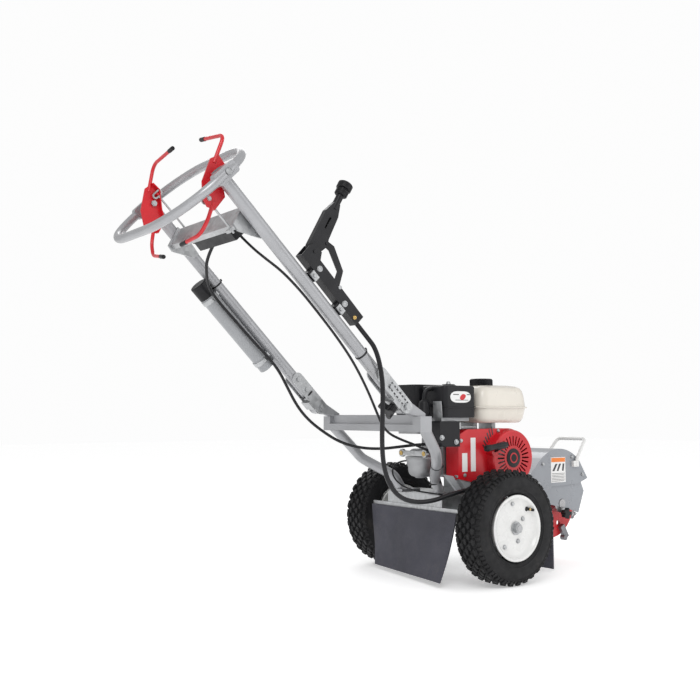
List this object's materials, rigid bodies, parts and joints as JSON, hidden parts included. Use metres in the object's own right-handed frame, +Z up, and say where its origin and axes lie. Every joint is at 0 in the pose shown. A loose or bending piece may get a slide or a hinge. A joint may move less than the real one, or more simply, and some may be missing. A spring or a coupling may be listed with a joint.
{
  "type": "stump grinder",
  "caption": "Walk-behind stump grinder: engine-driven toothed cutter wheel, pneumatic wheels, folding tube handle with steering ring and bail levers.",
  "frame": {"origin": "on the ground below the middle of the bounding box", "axes": "+X forward to the cutter wheel, +Y to the left-hand wheel, +Z up"},
  "size_m": [1.6658, 0.64, 1.2114],
  "materials": {
    "silver_paint": "satin silver paint",
    "grey_paint": "gloss grey paint",
    "red_paint": "gloss red paint",
    "zinc": "zinc plated",
    "steel": "machined steel",
    "black_steel": "black powder coat",
    "cast_alloy": "die cast",
    "black_plastic": "moulded black",
    "grey_plastic": "moulded grey",
    "red_plastic": "gloss red",
    "tank_white": "gloss cream white",
    "tyre_rubber": "moulded rubber",
    "flap_rubber": "dark grey sheet rubber",
    "cable_rubber": "black sheath",
    "rim_white": "gloss white paint",
    "cutter_red": "red paint",
    "carbide": "hardened"
  },
  "bodies": {
    "frame": {"base_frame": "zinc", "support_frame": "silver_paint", "frame_bolts": "zinc", "axle": "steel", "brake_caliper": "black_steel", "crankcase": "cast_alloy", "cylinder": "cast_alloy", "blower_housing": "red_paint", "recoil_cover": "red_plastic", "fuel_tank": "tank_white", "air_cleaner": "black_plastic", "carburettor": "cast_alloy", "intake_cover": "black_plastic", "muffler": "steel", "muffler_guard": "black_steel", "cutter_housing": "grey_paint", "front_guard": "grey_paint", "lift_handle": "rim_white", "belt_guard": "grey_paint", "shaft_bearings": "steel", "drive_belt": "flap_rubber", "rear_flap": "flap_rubber", "front_flap": "flap_rubber", "starter_rope": "cable_rubber"},
    "handle": {"handle_clevises": "zinc", "handle_tubes": "silver_paint", "handle_ring": "silver_paint", "handle_bolts": "zinc", "control_panel": "zinc", "switch_box": "black_plastic", "canister": "grey_plastic", "lever_bracket": "black_steel", "brake_cable": "cable_rubber", "throttle_cable": "cable_rubber", "control_cable": "cable_rubber"},
    "canister_cap": {"canister_cap": "black_plastic"},
    "brake_arm": {"brake_arm": "black_steel"},
    "brake_knob": {"brake_knob": "black_plastic"},
    "brake_link": {"brake_link": "black_steel"},
    "caliper_arm": {"caliper_arm": "zinc"},
    "bail_left": {"bail_left": "red_paint"},
    "bail_right": {"bail_right": "red_paint"},
    "bail_link_left": {"bail_link_left": "zinc"},
    "bail_link_right": {"bail_link_right": "zinc"},
    "lock_knob": {"lock_knob": "black_plastic"},
    "wheel_left": {"tyre_left": "tyre_rubber", "rim_left": "rim_white"},
    "wheel_right": {"tyre_right": "tyre_rubber", "rim_right": "rim_white", "brake_disc": "steel"},
    "cutter": {"cutter_shaft": "steel", "cutter_disc": "cutter_red", "cutter_teeth": "carbide", "cutter_pulley": "steel"},
    "crank": {"crankshaft": "steel", "flywheel_fan": "cast_alloy", "clutch_pulley": "steel"},
    "starter_grip": {"starter_grip": "black_plastic"},
    "choke_lever": {"choke_lever": "zinc"},
    "fuel_cap": {"fuel_cap": "black_plastic"}
  },
  "joints": [
    {"name": "wheel_left_spin", "type": "hinge", "parent": "frame", "child": "wheel_left", "pos_m": [0.223, 0.263, 0.165], "axis": [0, 1, 0], "continuous": true},
    {"name": "wheel_right_spin", "type": "hinge", "parent": "frame", "child": "wheel_right", "pos_m": [0.223, -0.263, 0.165], "axis": [0, 1, 0], "continuous": true},
    {"name": "cutter_spin", "type": "hinge", "parent": "frame", "child": "cutter", "pos_m": [0.697, 0, 0.19], "axis": [0, 1, 0], "continuous": true},
    {"name": "crank_spin", "type": "hinge", "parent": "frame", "child": "crank", "pos_m": [0.34, 0, 0.357], "axis": [0, 1, 0], "continuous": true},
    {"name": "handle_fold", "type": "hinge", "parent": "frame", "child": "handle", "pos_m": [-0.117, 0, 0.511], "axis": [0, 1, 0], "range_deg": [0, 120], "deforming": ["brake_cable", "throttle_cable", "control_cable"]},
    {"name": "lock_knob_turn", "type": "hinge", "parent": "handle", "child": "lock_knob", "pos_m": [-0.16502, -0.209, 0.50218], "axis": [-0.7022, 0, -0.712], "range_deg": [0, 360]},
    {"name": "canister_cap_turn", "type": "hinge", "parent": "handle", "child": "canister_cap", "pos_m": [-0.51885, 0.209, 0.84408], "axis": [-0.712, 0, 0.7022], "range_deg": [0, 360]},
    {"name": "brake_arm_pivot", "type": "hinge", "parent": "handle", "child": "brake_arm", "pos_m": [-0.42033, -0.209, 0.91265], "axis": [0, 1, 0], "range_deg": [-60, 10]},
    {"name": "brake_knob_turn", "type": "hinge", "parent": "brake_arm", "child": "brake_knob", "pos_m": [-0.32368, -0.209, 1.08774], "axis": [0.4833, 0, 0.8755], "range_deg": [0, 360]},
    {"name": "brake_link_pivot", "type": "hinge", "parent": "brake_arm", "child": "brake_link", "pos_m": [-0.3788, -0.209, 0.9391], "axis": [0, 1, 0], "range_deg": [-10, 56]},
    {"name": "caliper_arm_pivot", "type": "hinge", "parent": "frame", "child": "caliper_arm", "pos_m": [0.285, -0.1675, 0.192], "axis": [0, 1, 0], "range_deg": [-13, 3]},
    {"name": "bail_left_pivot", "type": "hinge", "parent": "handle", "child": "bail_left", "pos_m": [-0.69089, 0.1885, 1.07694], "axis": [0, 1, 0], "range_deg": [-10, 10], "stiffness_Nm_per_rad": 8},
    {"name": "bail_right_pivot", "type": "hinge", "parent": "handle", "child": "bail_right", "pos_m": [-0.69089, -0.1885, 1.07694], "axis": [0, 1, 0], "range_deg": [-10, 10], "stiffness_Nm_per_rad": 8},
    {"name": "bail_link_left_slide", "type": "slide", "parent": "handle", "child": "bail_link_left", "axis": [-0.712, 0, 0.7022], "range_m": [-0.0045, 0.0045]},
    {"name": "bail_link_right_slide", "type": "slide", "parent": "handle", "child": "bail_link_right", "axis": [-0.712, 0, 0.7022], "range_m": [-0.0102, 0.0102]},
    {"name": "starter_pull", "type": "slide", "parent": "frame", "child": "starter_grip", "axis": [-0.1997, -0.8489, 0.4894], "range_m": [0, 0.6], "stiffness_N_per_m": 10, "springref_m": -0.5, "deforming": ["starter_rope"]},
    {"name": "choke_lever_turn", "type": "hinge", "parent": "frame", "child": "choke_lever", "pos_m": [0.15, -0.14, 0.451], "axis": [0, 0, 1], "range_deg": [0, 50]},
    {"name": "fuel_cap_turn", "type": "hinge", "parent": "frame", "child": "fuel_cap", "pos_m": [0.289, -0.1, 0.58], "axis": [0, 0, 1], "range_deg": [0, 90]}
  ],
  "couplings": [
    {"joint": "crank_spin", "follows": "cutter_spin", "ratio": 1.235},
    {"joint": "brake_link_pivot", "follows": "brake_arm_pivot", "ratio": -0.9},
    {"joint": "caliper_arm_pivot", "follows": "brake_arm_pivot", "ratio": 0.2},
    {"joint": "bail_link_left_slide", "follows": "bail_left_pivot", "m_per_rad": -0.02392},
    {"joint": "bail_link_right_slide", "follows": "bail_right_pivot", "m_per_rad": 0.056}
  ]
}
